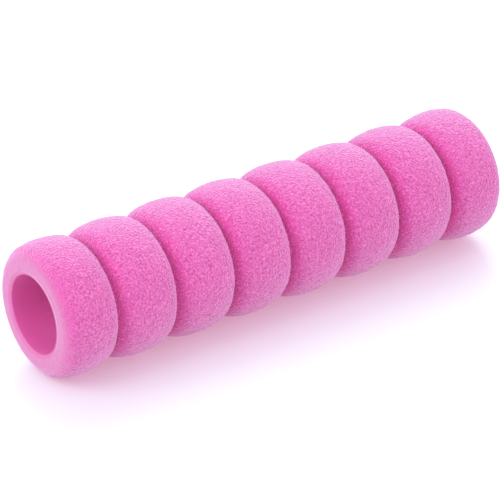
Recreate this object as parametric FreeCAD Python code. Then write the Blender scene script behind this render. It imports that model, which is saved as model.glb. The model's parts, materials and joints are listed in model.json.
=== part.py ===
import FreeCAD, Part
import math
import os

# Ribbed foam roller sleeve: one ground foam tube with eight equal lobes, and the smooth skin that
# lines its straight through bore. Millimetres. The bore runs along X, the origin is in the middle of
# the bore, and +Z is up, so that the sleeve lies on the crests of its lobes at Z = -CREST_RADIUS.

# Driving dimensions
LOBE_COUNT = 8
LOBE_PITCH = 17.9          # from one crest to the next
CREST_RADIUS = 18.0        # outside radius on a crest
BORE_RADIUS = 10.5         # free inside radius
SKIN_THICKNESS = 0.8       # dense skin around the bore
END_OVERHANG = 7.35        # from the last crest to the end face

# Lobe section: a flat arc over the crest, a tighter arc down each flank, and a small round at the
# bottom of the groove between two lobes
CREST_ARC = 22.0
CREST_HALF_ANGLE = math.radians(14.0)
FLANK_END_ANGLE = math.radians(78.0)   # slope of the flank where it runs into the groove bottom
GROOVE_ARC = 0.5

# End section: the crest arc runs into a round shoulder, which ends square to the flat end face
SHOULDER_ARC = 4.0
MOUTH_ROUNDING = 0.5       # on the edge between the bore and the end face

# Worked out from the driving dimensions
LENGTH = (LOBE_COUNT - 1) * LOBE_PITCH + 2 * END_OVERHANG
END_X = LENGTH / 2
FIRST_CREST_X = END_OVERHANG - END_X
SKIN_RADIUS = BORE_RADIUS + SKIN_THICKNESS
FLANK_REACH = (LOBE_PITCH / 2 - CREST_ARC * math.sin(CREST_HALF_ANGLE)
               - GROOVE_ARC * math.sin(FLANK_END_ANGLE))
FLANK_ARC = FLANK_REACH / (math.sin(FLANK_END_ANGLE) - math.sin(CREST_HALF_ANGLE))
FLANK_CENTRE_RADIUS = CREST_RADIUS - CREST_ARC + (CREST_ARC - FLANK_ARC) * math.cos(CREST_HALF_ANGLE)
GROOVE_CENTRE_RADIUS = FLANK_CENTRE_RADIUS + (FLANK_ARC + GROOVE_ARC) * math.cos(FLANK_END_ANGLE)
GROOVE_DEPTH = CREST_RADIUS - (GROOVE_CENTRE_RADIUS - GROOVE_ARC)
SHOULDER_START_ANGLE = math.asin((END_OVERHANG - SHOULDER_ARC) / (CREST_ARC - SHOULDER_ARC))

BORE_AXIS = FreeCAD.Vector(1, 0, 0)
AXIS_POINT = FreeCAD.Vector(0, 0, 0)
FULL_TURN = 360.0
QUARTER_TURN = math.pi / 2
HALF_TURN = math.pi


def point(x, radius):
    """A point of the half section, which is drawn in the XZ plane above the bore axis."""
    return FreeCAD.Vector(x, 0, radius)


def arc_edge(centre_x, centre_radius, arc_radius, start_angle, end_angle):
    """An arc whose angles are measured from straight out, towards +X."""
    stops = []
    for angle in (start_angle, (start_angle + end_angle) / 2, end_angle):
        stops.append(point(centre_x + arc_radius * math.sin(angle),
                           centre_radius + arc_radius * math.cos(angle)))
    return Part.Arc(*stops).toShape()


def crest_edge(crest_x, start_angle, end_angle):
    return arc_edge(crest_x, CREST_RADIUS - CREST_ARC, CREST_ARC, start_angle, end_angle)


def inner_arc_edge(crest_x, side, arc_radius, join_angle, end_angle):
    """A tighter arc that leaves the crest arc smoothly, on the side of the lobe given by +1 or -1."""
    step_in = CREST_ARC - arc_radius
    centre_x = crest_x + side * step_in * math.sin(join_angle)
    centre_radius = CREST_RADIUS - CREST_ARC + step_in * math.cos(join_angle)
    return arc_edge(centre_x, centre_radius, arc_radius, side * join_angle, side * end_angle)


def flank_edge(crest_x, side):
    return inner_arc_edge(crest_x, side, FLANK_ARC, CREST_HALF_ANGLE, FLANK_END_ANGLE)


def shoulder_edge(crest_x, side):
    return inner_arc_edge(crest_x, side, SHOULDER_ARC, SHOULDER_START_ANGLE, QUARTER_TURN)


def groove_edge(crest_x):
    """The round bottom of the groove that follows this lobe."""
    return arc_edge(crest_x + LOBE_PITCH / 2, GROOVE_CENTRE_RADIUS, GROOVE_ARC,
                    HALF_TURN + FLANK_END_ANGLE, HALF_TURN - FLANK_END_ANGLE)


def lobe_edges(index):
    """The outline of one lobe and of the groove after it. The outer sides of the first and of the
    last lobe are shoulders instead of flanks.
    """
    crest_x = FIRST_CREST_X + index * LOBE_PITCH
    is_first = index == 0
    is_last = index == LOBE_COUNT - 1
    crest_start = SHOULDER_START_ANGLE if is_first else CREST_HALF_ANGLE
    crest_end = SHOULDER_START_ANGLE if is_last else CREST_HALF_ANGLE
    start_side = shoulder_edge if is_first else flank_edge
    end_side = shoulder_edge if is_last else flank_edge
    edges = [
        start_side(crest_x, -1),
        crest_edge(crest_x, -crest_start, crest_end),
        end_side(crest_x, 1),
    ]
    if not is_last:
        edges.append(groove_edge(crest_x))
    return edges


def revolved(edges):
    """A solid turned from the closed half section that these edges make."""
    outline = Part.Wire(Part.__sortEdges__(edges))
    return Part.Face(outline).revolve(AXIS_POINT, BORE_AXIS, FULL_TURN)


def foam_body():
    """The ground foam tube, from the outside of the skin to the lobed surface."""
    edges = []
    for index in range(LOBE_COUNT):
        edges.extend(lobe_edges(index))
    face_rim = CREST_RADIUS - CREST_ARC + (CREST_ARC - SHOULDER_ARC) * math.cos(SHOULDER_START_ANGLE)
    inner_corners = [point(-END_X, face_rim), point(-END_X, SKIN_RADIUS),
                     point(END_X, SKIN_RADIUS), point(END_X, face_rim)]
    for start, end in zip(inner_corners, inner_corners[1:]):
        edges.append(Part.LineSegment(start, end).toShape())
    return revolved(edges)


def mouth_edge(side):
    """The round lip of the skin at one mouth of the bore."""
    centre_x = side * (END_X - MOUTH_ROUNDING)
    centre_radius = BORE_RADIUS + MOUTH_ROUNDING
    return arc_edge(centre_x, centre_radius, MOUTH_ROUNDING, side * HALF_TURN, side * QUARTER_TURN)


def bore_skin():
    """The smooth skin of the bore, from end face to end face, with a round lip at each mouth."""
    lip_x = END_X - MOUTH_ROUNDING
    lip_radius = BORE_RADIUS + MOUTH_ROUNDING
    edges = [
        Part.LineSegment(point(-lip_x, BORE_RADIUS), point(lip_x, BORE_RADIUS)).toShape(),
        mouth_edge(1),
        Part.LineSegment(point(END_X, lip_radius), point(END_X, SKIN_RADIUS)).toShape(),
        Part.LineSegment(point(END_X, SKIN_RADIUS), point(-END_X, SKIN_RADIUS)).toShape(),
        Part.LineSegment(point(-END_X, SKIN_RADIUS), point(-END_X, lip_radius)).toShape(),
        mouth_edge(-1),
    ]
    return revolved(edges)


os.makedirs("parts", exist_ok=True)
for node, shape in (("foam_body", foam_body()), ("bore_skin", bore_skin())):
    shape.exportStep(f"parts/{node}.step")
    print(node, "valid", shape.isValid(), "volume_mm3", round(shape.Volume, 1))
print("length", round(LENGTH, 3), "flank arc", round(FLANK_ARC, 3), "groove depth", round(GROOVE_DEPTH, 3))
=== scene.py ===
import json
import math

import bpy
import numpy as np
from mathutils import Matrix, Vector


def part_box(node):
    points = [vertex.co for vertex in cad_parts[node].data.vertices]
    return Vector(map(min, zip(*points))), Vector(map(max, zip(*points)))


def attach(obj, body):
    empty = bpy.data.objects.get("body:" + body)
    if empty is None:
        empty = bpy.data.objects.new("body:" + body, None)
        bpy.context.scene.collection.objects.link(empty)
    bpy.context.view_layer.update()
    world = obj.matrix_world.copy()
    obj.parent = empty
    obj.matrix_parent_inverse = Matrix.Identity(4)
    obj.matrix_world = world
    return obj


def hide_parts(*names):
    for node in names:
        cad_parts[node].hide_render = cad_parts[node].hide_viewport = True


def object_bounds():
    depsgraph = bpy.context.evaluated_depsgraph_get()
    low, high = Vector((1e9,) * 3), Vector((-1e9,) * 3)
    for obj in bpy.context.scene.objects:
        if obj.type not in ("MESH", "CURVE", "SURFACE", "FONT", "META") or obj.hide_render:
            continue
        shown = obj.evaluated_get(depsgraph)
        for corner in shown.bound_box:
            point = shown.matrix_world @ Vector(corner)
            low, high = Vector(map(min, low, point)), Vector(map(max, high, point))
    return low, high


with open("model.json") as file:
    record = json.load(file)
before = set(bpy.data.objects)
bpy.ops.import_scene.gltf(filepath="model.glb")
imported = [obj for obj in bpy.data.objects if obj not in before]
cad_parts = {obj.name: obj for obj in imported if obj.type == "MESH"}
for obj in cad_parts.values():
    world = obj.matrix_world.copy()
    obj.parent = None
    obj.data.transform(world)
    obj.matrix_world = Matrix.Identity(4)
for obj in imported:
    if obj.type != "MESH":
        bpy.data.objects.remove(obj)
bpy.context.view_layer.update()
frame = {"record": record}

# The ribbed foam sleeve, in metres. The bore runs along X, and the sleeve lies on its ribs.
MM = 0.001
BODY = "root"

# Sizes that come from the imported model, whose middle is at the origin
foam_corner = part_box("foam_body")[1]
skin_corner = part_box("bore_skin")[1]
bore_mount = frame["record"]["mounts"][0]
END_X = foam_corner.x
CREST_RADIUS = foam_corner.z
SKIN_RADIUS = skin_corner.z
BORE_RADIUS = bore_mount["dims"]["r_mm"] * MM

# The sleeve's section, as designed
LOBE_COUNT = 8
LOBE_PITCH = 17.9 * MM
CREST_ARC = 22.0 * MM                    # the flat arc over each crest
CREST_HALF_ANGLE = math.radians(14.0)    # how far that arc reaches to either side
FLANK_END_ANGLE = math.radians(78.0)     # where a flank meets the small arc of the groove
GROOVE_ARC = 0.5 * MM
SHOULDER_ARC = 4.0 * MM                  # rounds each end of the sleeve down to its end face
MOUTH_ROUNDING = 0.5 * MM                # the lip of the skin at each mouth
END_OVERHANG = END_X - (LOBE_COUNT - 1) * LOBE_PITCH / 2    # from the last crest to the end face

# How far apart the points of the meshes are
GRAIN_STEP = 0.44 * MM                   # on the ground surface and the end faces
HIDDEN_STEP = 8.0 * MM                   # where foam and skin meet, out of sight
WALL_STEP = 2.5 * MM                     # along the wall of the bore
LIP_STEP = MOUTH_ROUNDING / 5
SKIN_COLUMNS = 192                       # points of the skin round the bore

# The ground surface of the foam
GRAIN_SEED = 7
GRAIN_HEIGHT = 0.035 * MM                # how far a point usually stands above or below the rest
GRAIN_SINK = 2 * GRAIN_HEIGHT            # how far the grain's middle lies inside the CAD's surface
GRAIN_PASSES = 1                         # rounds of averaging with the neighbours
WAVER_HEIGHT = 0.03 * MM                 # slow unevenness of the grinding
WAVER_PASSES = 40
SMOOTH_DEPTH = 0.6 * MM                  # how far the smooth ring reaches from the end face, along X
SMOOTH_FADE = 0.4 * MM                   # half the width over which the grain sets in
INSIDE_MARGIN = 1.0 * MM                 # points no further out from the skin than this stay smooth


# ---------------------------------------------------------------- shapes

def arc(centre, arc_radius, start, end, step):
    """Points of an arc of the half section, with angles from straight out towards +X."""
    count = max(2, round(abs(end - start) * arc_radius / step))
    angles = np.linspace(start, end, count + 1)
    return np.column_stack([centre[0] + arc_radius * np.sin(angles),
                            centre[1] + arc_radius * np.cos(angles)])


def straight(start, end, step):
    """Points of a straight stretch of the half section."""
    start = np.array(start)
    end = np.array(end)
    count = max(1, round(float(np.linalg.norm(end - start)) / step))
    return start + (end - start) * np.linspace(0, 1, count + 1)[:, None]


def joined(stretches):
    """One run of points from stretches that each start where the one before ends."""
    return np.vstack([stretches[0]] + [stretch[1:] for stretch in stretches[1:]])


def closed_loop(stretches):
    """A loop of section points from stretches that end where they began. The number of points
    is even, because the rows of a turned mesh are staggered in pairs."""
    section = joined(stretches)[:-1]
    if len(section) % 2 == 0:
        return section
    middle = (section[-1] + section[0]) / 2
    return np.vstack([section, middle])


def mirrored(points):
    """The same outline on the other side of the middle, still running towards +X."""
    return (points * [-1, 1])[::-1]


def half_lobe(crest_x, is_end, step):
    """One lobe's outline from its crest towards +X: a flat arc, a tighter one, and the groove."""
    groove_x = crest_x + LOBE_PITCH / 2
    if is_end:
        arc_radius = SHOULDER_ARC
        join = math.asin((END_OVERHANG - SHOULDER_ARC) / (CREST_ARC - SHOULDER_ARC))
        end = math.pi / 2
    else:
        join = CREST_HALF_ANGLE
        end = FLANK_END_ANGLE
        reach = LOBE_PITCH / 2 - GROOVE_ARC * math.sin(end)
        arc_radius = (reach - CREST_ARC * math.sin(join)) / (math.sin(end) - math.sin(join))
    step_in = CREST_ARC - arc_radius
    crest_centre = CREST_RADIUS - CREST_ARC
    tight_centre = (crest_x + step_in * math.sin(join), crest_centre + step_in * math.cos(join))
    flank = arc(tight_centre, arc_radius, join, end, step)
    outline = joined([arc((crest_x, crest_centre), CREST_ARC, 0, join, step), flank])
    if is_end:
        return outline
    floor_centre = (groove_x, flank[-1][1] + GROOVE_ARC * math.cos(end))
    return joined([outline, arc(floor_centre, GROOVE_ARC, math.pi + end, math.pi, step)])


def lobed_outline(step):
    """The outside of the sleeve, from the rim of one end face to the rim of the other."""
    lobes_per_half = LOBE_COUNT // 2
    right_half = []
    for index in range(lobes_per_half):
        crest_x = (index + 0.5) * LOBE_PITCH
        is_last = index == lobes_per_half - 1
        towards_middle = mirrored(half_lobe(0, False, step)) + [crest_x, 0]
        towards_end = half_lobe(crest_x, is_last, step)
        right_half.extend([towards_middle, towards_end])
    right_half = joined(right_half)
    return joined([mirrored(right_half), right_half])


def turned(section, columns):
    """Points and triangles of a closed surface, turned about the bore from a closed loop of section
    points. Every second row is turned by half a column, so that the triangles are even."""
    rows = len(section)
    column = np.arange(columns)
    following = (column + 1) % columns
    stagger = 0.5 * (np.arange(rows) % 2)
    angle = 2 * math.pi * (column[None, :] + stagger[:, None]) / columns
    along = np.broadcast_to(section[:, :1], angle.shape)
    out = section[:, 1:]
    points = np.stack([along, out * np.sin(angle), out * np.cos(angle)], axis=-1)
    faces = []
    for row in range(rows):
        here = row * columns
        there = ((row + 1) % rows) * columns
        if row % 2:
            faces.append(np.column_stack([here + column, there + column, there + following]))
            faces.append(np.column_stack([here + column, there + following, here + following]))
        else:
            faces.append(np.column_stack([here + column, there + column, here + following]))
            faces.append(np.column_stack([here + following, there + column, there + following]))
    return points, np.vstack(faces)


def outward_normals(section, points):
    """The directions that point out of a turned surface, without its grain."""
    run = np.roll(section, -1, axis=0) - np.roll(section, 1, axis=0)
    run /= np.linalg.norm(run, axis=1)[:, None]
    along = np.broadcast_to(-run[:, 1][:, None], points.shape[:2])
    out = run[:, 0][:, None]
    from_axis = points / np.linalg.norm(points[..., 1:], axis=-1)[..., None]
    return np.stack([along, out * from_axis[..., 1], out * from_axis[..., 2]], axis=-1)


def mesh_object(name, points, faces):
    """A smooth-shaded object made of triangles."""
    mesh = bpy.data.meshes.new(name)
    points = points.reshape(-1, 3)
    mesh.vertices.add(len(points))
    mesh.vertices.foreach_set("co", points.astype(np.float32).ravel())
    mesh.loops.add(faces.size)
    mesh.loops.foreach_set("vertex_index", faces.astype(np.int32).ravel())
    mesh.polygons.add(len(faces))
    mesh.polygons.foreach_set("loop_start", np.arange(0, faces.size, 3, dtype=np.int32))
    mesh.update(calc_edges=True)
    mesh.validate()
    mesh.polygons.foreach_set("use_smooth", np.ones(len(mesh.polygons), dtype=bool))
    made = bpy.data.objects.new(name, mesh)
    bpy.context.scene.collection.objects.link(made)
    return made


def smoothstep(low, high, value):
    """A share that eases from 0 to 1 as the value goes from low to high."""
    share = np.clip((value - low) / (high - low), 0, 1)
    return share * share * (3 - 2 * share)


def smoothed(field, passes):
    """Random values, with rows along the sleeve and columns around it, averaged with their
    neighbours and scaled back to a spread of 1. More passes give wider bumps."""
    for _ in range(passes):
        around = (np.roll(field, 1, axis=1) + np.roll(field, -1, axis=1)) / 4 + field / 2
        field = (np.roll(around, 1, axis=0) + np.roll(around, -1, axis=0)) / 4 + around / 2
    return field / field.std()


def build_foam():
    """The foam: a closed mesh whose ground outside is uneven, and smooth around each mouth."""
    outside = lobed_outline(GRAIN_STEP)
    rim = outside[-1][1]
    section = closed_loop([
        outside,
        straight((END_X, rim), (END_X, SKIN_RADIUS), GRAIN_STEP),
        straight((END_X, SKIN_RADIUS), (-END_X, SKIN_RADIUS), HIDDEN_STEP),
        straight((-END_X, SKIN_RADIUS), (-END_X, rim), GRAIN_STEP),
    ])
    columns = round(2 * math.pi * CREST_RADIUS / GRAIN_STEP)
    points, faces = turned(section, columns)

    random = np.random.RandomState(GRAIN_SEED)
    grain = smoothed(random.normal(size=points.shape[:2]), GRAIN_PASSES)
    waver = smoothed(random.normal(size=points.shape[:2]), WAVER_PASSES)
    from_end = END_X - np.abs(section[:, 0])
    ground = smoothstep(SMOOTH_DEPTH - SMOOTH_FADE, SMOOTH_DEPTH + SMOOTH_FADE, from_end)
    on_outside = section[:, 1] > SKIN_RADIUS + INSIDE_MARGIN
    ground = np.where(on_outside, ground, 0)[:, None]
    height = (grain * GRAIN_HEIGHT - GRAIN_SINK + waver * WAVER_HEIGHT) * ground
    points = points + outward_normals(section, points) * height[..., None]
    return mesh_object("foam_body_ground", points, faces)


def build_skin():
    """The smooth lining of the bore, with a round lip at each mouth."""
    lip_x = END_X - MOUTH_ROUNDING
    lip_radius = BORE_RADIUS + MOUTH_ROUNDING
    section = closed_loop([
        straight((-END_X, SKIN_RADIUS), (END_X, SKIN_RADIUS), HIDDEN_STEP),
        straight((END_X, SKIN_RADIUS), (END_X, lip_radius), LIP_STEP),
        arc((lip_x, lip_radius), MOUTH_ROUNDING, math.pi / 2, math.pi, LIP_STEP),
        straight((lip_x, BORE_RADIUS), (-lip_x, BORE_RADIUS), WALL_STEP),
        arc((-lip_x, lip_radius), MOUTH_ROUNDING, math.pi, 1.5 * math.pi, LIP_STEP),
        straight((-END_X, lip_radius), (-END_X, SKIN_RADIUS), LIP_STEP),
    ])
    points, faces = turned(section, SKIN_COLUMNS)
    return mesh_object("bore_skin_smooth", points, faces)


# ---------------------------------------------------------------- materials

# Numbers of the sockets of a Mix node, when it mixes colours
MIX_SHARE = 0
MIX_FIRST = 6
MIX_SECOND = 7
MIX_RESULT = 2


class Nodes:
    """Short calls for one material's nodes."""

    def __init__(self, name):
        self.material = bpy.data.materials.new(name)
        self.material.use_nodes = True
        self.tree = self.material.node_tree
        self.shader = self.tree.nodes["Principled BSDF"]
        self.place = self.add("ShaderNodeTexCoord").outputs["Object"]

    def add(self, kind, inputs=(), **settings):
        """A new node, whose inputs are either values or sockets of other nodes."""
        made = self.tree.nodes.new(kind)
        for key, value in settings.items():
            setattr(made, key, value)
        for key, value in dict(inputs).items():
            if isinstance(value, bpy.types.NodeSocket):
                self.tree.links.new(value, made.inputs[key])
            else:
                made.inputs[key].default_value = value
        return made

    def math(self, operation, *values):
        return self.add("ShaderNodeMath", dict(enumerate(values)), operation=operation).outputs[0]

    def noise(self, size, detail, place=None):
        """Noise whose blobs are about this many metres across, from 0 to 1."""
        made = self.add("ShaderNodeTexNoise", {
            "Vector": place or self.place, "Scale": 1 / size, "Detail": detail})
        return made.outputs["Fac"]

    def from_end(self):
        """Distance along the bore from the nearer end face."""
        apart = self.add("ShaderNodeSeparateXYZ", {"Vector": self.place})
        return self.math("SUBTRACT", END_X, self.math("ABSOLUTE", apart.outputs["X"]))

    def from_axis(self):
        """Distance from the axis of the bore."""
        apart = self.add("ShaderNodeSeparateXYZ", {"Vector": self.place})
        across = self.math("POWER", apart.outputs["Y"], 2.0)
        up = self.math("POWER", apart.outputs["Z"], 2.0)
        return self.math("SQRT", self.math("ADD", across, up))

    def spread(self, value, given, wanted=(0.0, 1.0), smooth=False):
        """The value moved from the given range to the wanted one, and held at its ends."""
        return self.add("ShaderNodeMapRange", {
            "Value": value, "From Min": given[0], "From Max": given[1],
            "To Min": wanted[0], "To Max": wanted[1],
        }, interpolation_type="SMOOTHSTEP" if smooth else "LINEAR").outputs["Result"]

    def blend(self, share, first, second):
        """A colour between two, by a share from 0 to 1."""
        made = self.add("ShaderNodeMix", {
            MIX_SHARE: share, MIX_FIRST: opaque(first), MIX_SECOND: opaque(second),
        }, data_type="RGBA", clamp_factor=True)
        return made.outputs[MIX_RESULT]

    def link(self, value, socket):
        self.tree.links.new(value, self.shader.inputs[socket])

    def link_relief(self, height):
        """Relief of the surface, from a height in metres."""
        bump = self.add("ShaderNodeBump", {"Height": height, "Distance": 1.0, "Strength": 1.0})
        self.link(bump.outputs["Normal"], "Normal")

    def set(self, values):
        for socket, value in values.items():
            self.shader.inputs[socket].default_value = value


def opaque(colour):
    """A colour given as three numbers gets its alpha; one that comes from a node has it already."""
    return (*colour, 1) if isinstance(colour, tuple) else colour


# Colours of the foam and of the skin, in linear light
FOAM_COLOUR = (0.615, 0.084, 0.335)
PORE_COLOUR = (0.43, 0.028, 0.20)
FLECK_COLOUR = (0.77, 0.174, 0.505)
# Painted shade: the foam and its pores turn darker and more saturated down in the grooves
GROOVE_SHADE_COLOUR = (0.65, 0.036, 0.305)
GROOVE_SHADE_PORE_COLOUR = (0.53, 0.024, 0.25)
RING_COLOUR = (0.55, 0.115, 0.31)
RING_MOTTLE_COLOUR = (0.50, 0.09, 0.275)
SKIN_COLOUR = (0.80, 0.165, 0.49)
SKIN_MOTTLE_COLOUR = (0.76, 0.13, 0.44)
MOUTH_COLOUR = (0.66, 0.095, 0.36)
# The lip has the ring's colour, a little lighter: painted sheen in place of the foam's stronger
# sheen
LIP_COLOUR_AND_SHEEN = (0.59, 0.13, 0.34)

# The foam's grain is a noise from 0, deep in a pore, to 1, on top of a cell wall
GRAIN_SIZE = 0.5 * MM
GRAIN_DETAIL = 0.4
GRAIN_MIDDLE = 0.5              # the value that lies level with the mesh
GRAIN_RELIEF = 0.42 * MM        # height between the values 0 and 1
PORE_RANGE = (0.52, 0.22)       # where a pore begins, and where it is darkest
PORE_POWER = 1.3                # above 1, shallow pores stay lighter
PORE_SHARES = (0.95, 0.6)       # how much of its colour shows, on a crest and down in a groove
FLECK_RANGE = (0.52, 0.80)      # where a light cell wall begins, and where it is lightest
FLECK_SHARES = (0.0, 0.88)      # how much of its colour shows there
FOAM_ROUGHNESS_RANGE = (0.2, 0.7)
FOAM_ROUGHNESS = (0.97, 0.86)   # in the pores, and on the cell walls
FOAM_FINISH = {
    "Specular IOR Level": 0.25,
    "Sheen Weight": 0.6,
    "Sheen Roughness": 0.6,
    "Sheen Tint": (0.82, 0.84, 1.0, 1),
}

# The smooth ring, painted shade down in the grooves, and slow patches of a deeper colour
BLOTCH_DETAIL = 2
EDGE_SIZE = 0.9 * MM            # bays in the edge of the smooth ring
EDGE_RANGE = (0.3, 0.7)
EDGE_SHIFT = (-0.25 * MM, 0.25 * MM)
RING_MOTTLE_SIZE = 0.8 * MM
RING_MOTTLE_RANGE = (0.35, 0.65)
GRAIN_COLOUR_DEPTHS = (SMOOTH_DEPTH, 3.5 * MM)    # distances from the end face
GRAIN_COLOUR_SHARES = (0.3, 1.0)                  # how strong the colours of the grain are there
GROOVE_SHADE_RADII = (17.0 * MM, 15.0 * MM)             # from the crests' colour to the painted shade of the grooves
GROOVE_SHADE_DEPTHS = (7 * MM, 12 * MM)                 # leaves out the shoulder at each end
PATCH_SIZE = 9 * MM
PATCH_RANGE = (0.35, 0.75)
PATCH_SHARES = (0.0, 0.1)

# The skin
LIP_DEPTHS = (0.9 * MM, 0.05 * MM)                # distances from the end face
MOUTH_DEPTHS = (14 * MM, 3 * MM)
SKIN_MOTTLE_SIZE = 2.4 * MM
SKIN_MOTTLE_DETAIL = 3
SKIN_MOTTLE_RANGE = (0.3, 0.7)
SKIN_ROUGHNESS_RANGE = (0.2, 0.8)
SKIN_ROUGHNESS = (0.5, 0.66)
LINE_SIZE = 0.5 * MM
LINE_DETAIL = 2
LINE_STRETCH = (0.06, 1, 1)     # a small scale along X draws the noise out into lines
LINE_RELIEF = 0.03 * MM
SKIN_FINISH = {
    "Specular IOR Level": 0.3,
    "Sheen Weight": 0.08,
    "Sheen Roughness": 0.7,
}


def foam_material():
    """Ground foam: a fine open grain of dark pores and light cell walls, painted shade in the
    grooves, and a smooth ring.
    """
    nodes = Nodes("ground_foam")
    from_end = nodes.from_end()
    shift = nodes.spread(nodes.noise(EDGE_SIZE, BLOTCH_DETAIL), EDGE_RANGE, EDGE_SHIFT)
    ring_edge = (SMOOTH_DEPTH - SMOOTH_FADE, SMOOTH_DEPTH + SMOOTH_FADE)
    ground = nodes.spread(nodes.math("ADD", from_end, shift), ring_edge, smooth=True)
    grained = nodes.spread(from_end, GRAIN_COLOUR_DEPTHS, GRAIN_COLOUR_SHARES)
    height = nodes.noise(GRAIN_SIZE, GRAIN_DETAIL)

    # Painted shade in the grooves, darker and more saturated towards the groove floors, left off the
    # end shoulders
    groove_shade = nodes.spread(nodes.from_axis(), GROOVE_SHADE_RADII, smooth=True)
    groove_shade = nodes.math("MULTIPLY", groove_shade, nodes.spread(from_end, GROOVE_SHADE_DEPTHS))
    colour = nodes.blend(groove_shade, FOAM_COLOUR, GROOVE_SHADE_COLOUR)

    pore_colour = nodes.blend(groove_shade, PORE_COLOUR, GROOVE_SHADE_PORE_COLOUR)
    pores = nodes.math("POWER", nodes.spread(height, PORE_RANGE), PORE_POWER)
    pores = nodes.math("MULTIPLY", pores, nodes.spread(groove_shade, (0.0, 1.0), PORE_SHARES))
    colour = nodes.blend(nodes.math("MULTIPLY", pores, grained), colour, pore_colour)

    flecks = nodes.spread(height, FLECK_RANGE, FLECK_SHARES)
    colour = nodes.blend(nodes.math("MULTIPLY", flecks, grained), colour, FLECK_COLOUR)
    patches = nodes.spread(nodes.noise(PATCH_SIZE, BLOTCH_DETAIL), PATCH_RANGE, PATCH_SHARES)
    colour = nodes.blend(patches, colour, PORE_COLOUR)

    ring_mottle = nodes.spread(nodes.noise(RING_MOTTLE_SIZE, BLOTCH_DETAIL), RING_MOTTLE_RANGE)
    ring_colour = nodes.blend(ring_mottle, RING_COLOUR, RING_MOTTLE_COLOUR)
    nodes.link(nodes.blend(ground, ring_colour, colour), "Base Color")

    relief = nodes.math("MULTIPLY", nodes.math("SUBTRACT", height, GRAIN_MIDDLE), GRAIN_RELIEF)
    nodes.link_relief(nodes.math("MULTIPLY", relief, ground))
    nodes.link(nodes.spread(height, FOAM_ROUGHNESS_RANGE, FOAM_ROUGHNESS), "Roughness")
    nodes.set(FOAM_FINISH)
    return nodes.material


def skin_material():
    """The closed skin of the bore: smooth and satin, with faint lines from the core it grew on."""
    nodes = Nodes("closed_skin")
    from_end = nodes.from_end()
    mottle = nodes.noise(SKIN_MOTTLE_SIZE, SKIN_MOTTLE_DETAIL)
    colour = nodes.blend(nodes.spread(mottle, SKIN_MOTTLE_RANGE), SKIN_COLOUR, SKIN_MOTTLE_COLOUR)
    colour = nodes.blend(nodes.spread(from_end, MOUTH_DEPTHS, smooth=True), colour, MOUTH_COLOUR)
    # The lip, with painted sheen lightening its colour
    colour = nodes.blend(nodes.spread(from_end, LIP_DEPTHS, smooth=True), colour, LIP_COLOUR_AND_SHEEN)
    nodes.link(colour, "Base Color")

    drawn_out = nodes.add("ShaderNodeMapping", {"Vector": nodes.place, "Scale": LINE_STRETCH})
    lines = nodes.noise(LINE_SIZE, LINE_DETAIL, drawn_out.outputs["Vector"])
    nodes.link_relief(nodes.math("MULTIPLY", lines, LINE_RELIEF))
    nodes.link(nodes.spread(mottle, SKIN_ROUGHNESS_RANGE, SKIN_ROUGHNESS), "Roughness")
    nodes.set(SKIN_FINISH)
    return nodes.material


# ---------------------------------------------------------------- stage

# The floor is white where it is lit. Its pink glow is painted light, in place of the pink light the
# foam throws into its own shadow, and it shows only in the shadow of the sleeve.
FLOOR_SIZE = 6
FLOOR_PAINT_AND_GLOW = {
    "Base Color": (0.40, 0.595, 0.575, 1),
    "Roughness": 0.45,
    "IOR": 2.0,
    "Emission Color": (1.0, 0.495, 0.675, 1),
    "Emission Strength": 0.43,
}

CAMERA_AZIMUTH = math.radians(-36.14)    # 0 looks along +Y
CAMERA_ELEVATION = math.radians(28.07)
CAMERA_DISTANCE = 0.7501
CAMERA_LENS = 205.3
CAMERA_SENSOR = 36
CAMERA_SHIFT = (-0.0180, -0.0248)
CAMERA_CLIP_END = 20


def add_floor(height):
    bpy.ops.mesh.primitive_plane_add(size=FLOOR_SIZE, location=(0, 0, height))
    floor = bpy.context.object
    floor.name = "floor"
    paint = bpy.data.materials.new("floor_with_painted_glow")
    paint.use_nodes = True
    shader = paint.node_tree.nodes["Principled BSDF"]
    for socket, value in FLOOR_PAINT_AND_GLOW.items():
        shader.inputs[socket].default_value = value
    floor.data.materials.append(paint)


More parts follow.
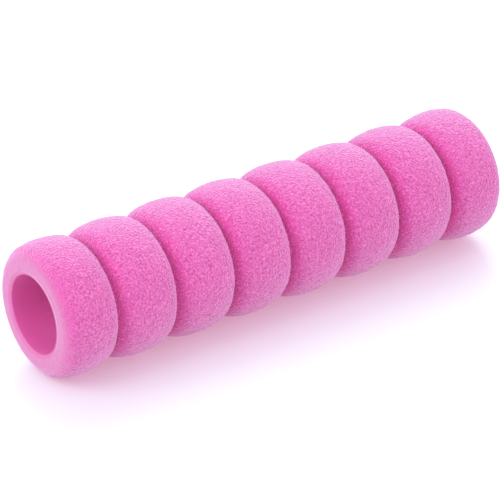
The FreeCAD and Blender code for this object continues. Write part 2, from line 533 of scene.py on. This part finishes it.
def add_light(name, place, width, height, power, colour):
    """A rectangular light that is aimed at the middle of the sleeve."""
    lamp = bpy.data.lights.new(name, "AREA")
    lamp.shape = "RECTANGLE"
    lamp.size = width
    lamp.size_y = height
    lamp.energy = power
    lamp.color = colour
    made = bpy.data.objects.new(name, lamp)
    made.location = place
    made.rotation_euler = (-Vector(place)).to_track_quat("-Z", "Y").to_euler()
    bpy.context.scene.collection.objects.link(made)


def add_world(strength, colour):
    world = bpy.data.worlds.new("studio")
    bpy.context.scene.world = world
    world.use_nodes = True
    background = world.node_tree.nodes["Background"]
    background.inputs["Color"].default_value = (*colour, 1)
    background.inputs["Strength"].default_value = strength


def add_camera():
    data = bpy.data.cameras.new("camera")
    data.lens = CAMERA_LENS
    data.sensor_width = CAMERA_SENSOR
    data.shift_x, data.shift_y = CAMERA_SHIFT
    data.clip_end = CAMERA_CLIP_END
    camera = bpy.data.objects.new("camera", data)
    level = math.cos(CAMERA_ELEVATION)
    back = Vector((math.sin(CAMERA_AZIMUTH) * level, -math.cos(CAMERA_AZIMUTH) * level,
                   math.sin(CAMERA_ELEVATION)))
    camera.location = back * CAMERA_DISTANCE
    camera.rotation_euler = (-back).to_track_quat("-Z", "Y").to_euler()
    bpy.context.scene.collection.objects.link(camera)
    bpy.context.scene.camera = camera


# ---------------------------------------------------------------- the sleeve on its stage

foam = build_foam()
foam.data.materials.append(foam_material())
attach(foam, BODY)
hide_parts("foam_body")

skin = build_skin()
skin.data.materials.append(skin_material())
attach(skin, BODY)
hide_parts("bore_skin")

low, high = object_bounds()
add_floor(low.z)
add_world(strength=1.12, colour=(0.98, 0.97, 1.05))
add_light("overhead", place=(0.3, 0.6, 0.75), width=0.7, height=0.7, power=4.2,
          colour=(0.68, 0.93, 1.0))
add_light("right_fill", place=(0.95, -0.55, 0.22), width=0.8, height=0.4, power=3.0,
          colour=(1.0, 1.0, 1.0))
add_light("end_fill", place=(-0.8, 0.05, 0.65), width=0.6, height=0.6, power=4.9,
          colour=(0.96, 1.0, 1.0))
add_light("low_front", place=(-0.6, -0.8, 0.22), width=0.6, height=0.4, power=0.9,
          colour=(1.0, 0.44, 0.44))
add_camera()
bpy.context.scene.view_settings.view_transform = "Standard"
